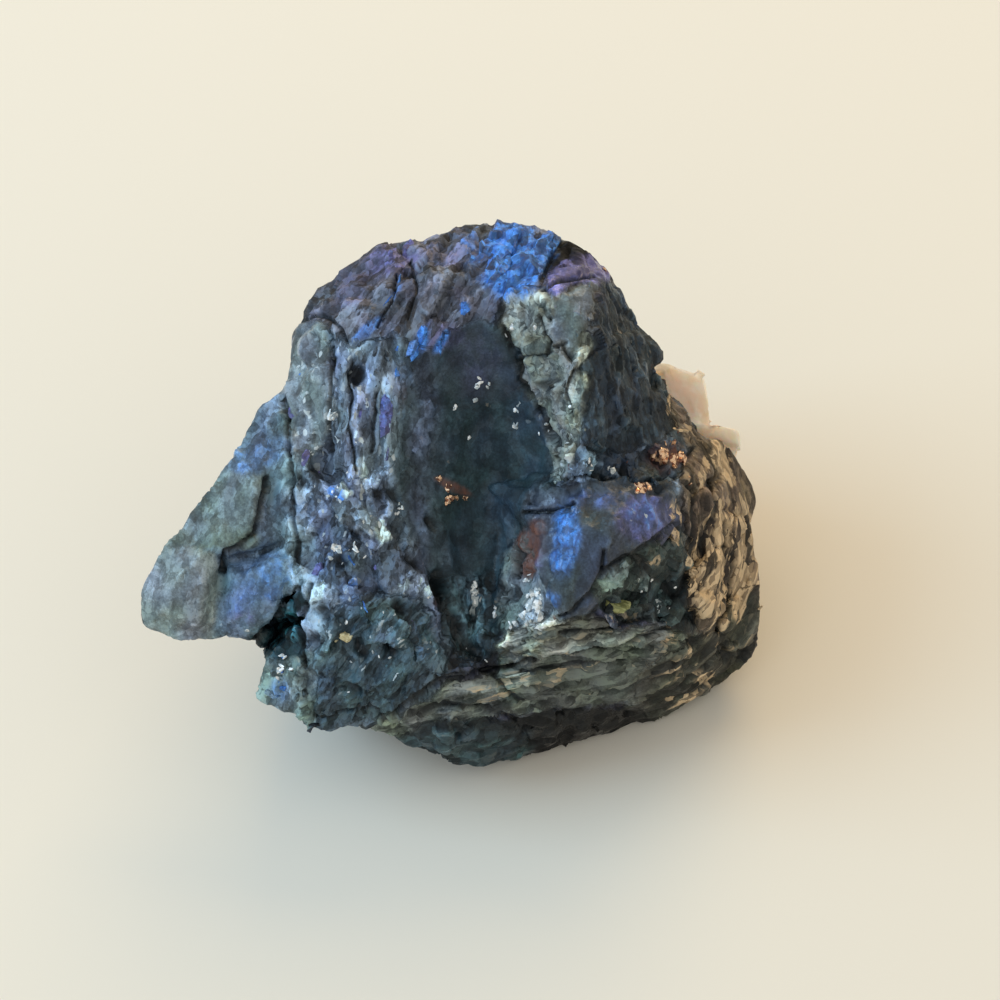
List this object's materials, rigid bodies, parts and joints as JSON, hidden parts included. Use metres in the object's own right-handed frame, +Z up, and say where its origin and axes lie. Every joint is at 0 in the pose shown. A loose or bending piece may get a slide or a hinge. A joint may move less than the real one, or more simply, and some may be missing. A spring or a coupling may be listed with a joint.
{
  "type": "black tourmaline in quartz",
  "caption": "Rough chunk of black tourmaline with a hollowed, iridescent broken face, a thin side wing and a lump of milky quartz; rests on a flat base.",
  "frame": {"origin": "middle of the part's bounding box, at the height of the flat base it rests on", "axes": "+Z up; -Y towards the side the broken face looks to; +X to the right of someone facing it"},
  "size_m": [0.0428, 0.0319, 0.0294],
  "materials": {
    "tourmaline": "near-black schorl, satin to glassy on fresh breaks, with blue and violet iridescent patches and grey-green weathered ones",
    "quartz": "milky, faintly pink quartz with a waxy lustre, slightly translucent"
  },
  "bodies": {
    "root": {"black_tourmaline": "tourmaline", "milky_quartz": "quartz"}
  },
  "joints": []
}
